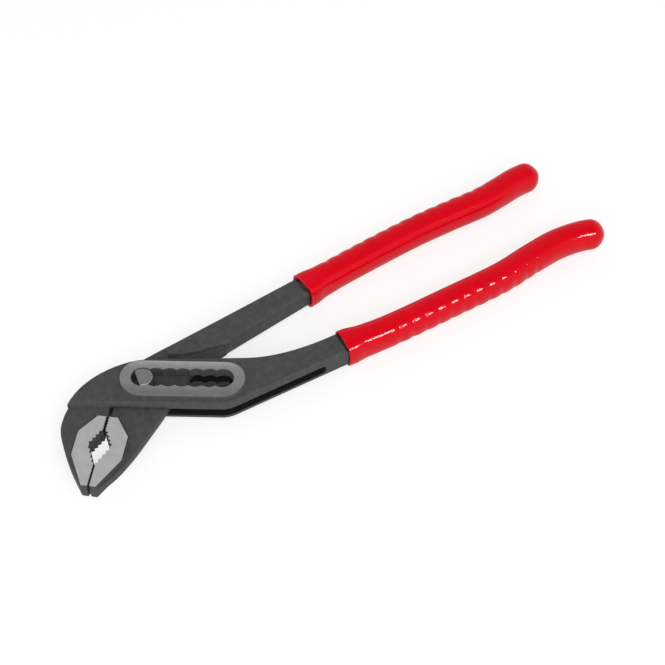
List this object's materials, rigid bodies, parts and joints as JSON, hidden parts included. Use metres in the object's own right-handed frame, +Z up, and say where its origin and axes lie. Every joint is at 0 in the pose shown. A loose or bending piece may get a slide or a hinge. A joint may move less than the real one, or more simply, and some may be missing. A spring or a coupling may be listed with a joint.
{
  "type": "water pump pliers",
  "caption": "Box-joint water pump pliers with a notched slot, a sliding flatted pivot pin, angled jaws with a toothed pipe recess and dipped plastic handle grips.",
  "frame": {"origin": "pivot axis in the first notch, at the back end of the pivot pin, in the plane the tool lies on", "axes": "+X along the slot towards the handles, +Z up out of the plane the tool lies on, +Y towards the inner half's handle"},
  "size_m": [0.2198, 0.1766, 0.0124],
  "materials": {
    "phosphated_steel": "dark grey phosphate, matt; jaw lands and ring ground bright",
    "ground_steel": "ground",
    "red_plastic": "dipped, glossy"
  },
  "bodies": {
    "box_half": {"box_lever": "phosphated_steel", "box_grip": "red_plastic"},
    "pivot": {"pivot_pin": "ground_steel"},
    "inner_half": {"inner_lever": "phosphated_steel", "inner_grip": "red_plastic"}
  },
  "joints": [
    {"name": "notch_slide", "type": "slide", "parent": "box_half", "child": "pivot", "axis": [1, 0, 0], "range_m": [0, 0.0318]},
    {"name": "jaw_hinge", "type": "hinge", "parent": "pivot", "child": "inner_half", "pos_m": [0, 0, 0.0062], "axis": [0, 0, 1], "range_deg": [0, 68]}
  ]
}
